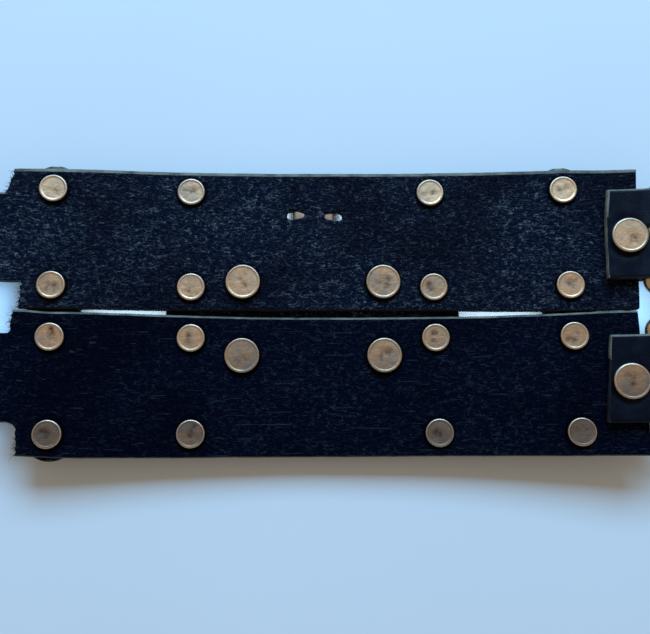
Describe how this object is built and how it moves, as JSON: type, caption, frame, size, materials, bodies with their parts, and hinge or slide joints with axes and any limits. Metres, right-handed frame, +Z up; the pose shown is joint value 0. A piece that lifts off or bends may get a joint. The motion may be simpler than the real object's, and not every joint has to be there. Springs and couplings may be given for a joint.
{
  "type": "riveted leather cuff",
  "caption": "Wide two-row black leather cuff with riveted cross straps, punched tongues and wire buckles, lying open with its flesh side up.",
  "frame": {"origin": "on the surface under the cuff, below the middle of its box, from the tongue tips to the buckle ends and across both bands", "axes": "+X along the cuff towards the buckles, +Y across it towards the upper band, +Z up from the surface, towards the flesh side"},
  "size_m": [0.3114, 0.0856, 0.0321],
  "materials": {
    "black_flesh": "pebbled flesh side, dull sheen",
    "black_grain": "smooth grain side, waxed",
    "nickel": "warm nickel, dished, hammered and scratched",
    "buckle_metal": "polished pale brass"
  },
  "bodies": {
    "cuff": {"upper_band": "black_flesh", "lower_band": "black_flesh", "outer_left_strap": "black_grain", "inner_left_strap": "black_grain", "inner_right_strap": "black_grain", "outer_right_strap": "black_grain", "left_link_strap": "black_grain", "right_link_strap": "black_grain", "centre_flap": "black_grain", "centre_staple": "nickel", "outer_left_rivet_posts": "nickel", "outer_left_rivet_caps": "nickel", "inner_left_rivet_posts": "nickel", "inner_left_rivet_caps": "nickel", "inner_right_rivet_posts": "nickel", "inner_right_rivet_caps": "nickel", "outer_right_rivet_posts": "nickel", "outer_right_rivet_caps": "nickel", "link_rivet_posts": "nickel", "link_rivet_caps": "nickel", "fold_rivet_posts": "nickel", "fold_rivet_caps": "nickel"},
    "upper_tongue": {"upper_tongue": "black_flesh"},
    "lower_tongue": {"lower_tongue": "black_flesh"},
    "upper_frame": {"upper_buckle_frame": "buckle_metal"},
    "upper_prong": {"upper_buckle_prong": "buckle_metal"},
    "lower_frame": {"lower_buckle_frame": "buckle_metal"},
    "lower_prong": {"lower_buckle_prong": "buckle_metal"}
  },
  "joints": [
    {"name": "upper_tongue_flex", "type": "hinge", "parent": "cuff", "child": "upper_tongue", "pos_m": [-0.05826, 0.0206, 0.01259], "axis": [0, 1, 0], "range_deg": [0, 75]},
    {"name": "upper_frame_swing", "type": "hinge", "parent": "cuff", "child": "upper_frame", "pos_m": [0.12804, 0.0206, 0.01381], "axis": [-0.1292, -0.9914, -0.0182], "range_deg": [-50, 135]},
    {"name": "upper_prong_swing", "type": "hinge", "parent": "upper_frame", "child": "upper_prong", "pos_m": [0.12804, 0.0206, 0.01381], "axis": [0.1292, 0.9914, 0.0182], "range_deg": [0, 50]},
    {"name": "lower_tongue_flex", "type": "hinge", "parent": "cuff", "child": "lower_tongue", "pos_m": [-0.05826, -0.0208, 0.01259], "axis": [0, 1, 0], "range_deg": [0, 75]},
    {"name": "lower_frame_swing", "type": "hinge", "parent": "cuff", "child": "lower_frame", "pos_m": [0.12694, -0.0208, 0.01365], "axis": [0.0863, -0.9962, 0.012], "range_deg": [-50, 150]},
    {"name": "lower_prong_swing", "type": "hinge", "parent": "lower_frame", "child": "lower_prong", "pos_m": [0.12694, -0.0208, 0.01365], "axis": [-0.0863, 0.9962, -0.012], "range_deg": [0, 50]}
  ]
}
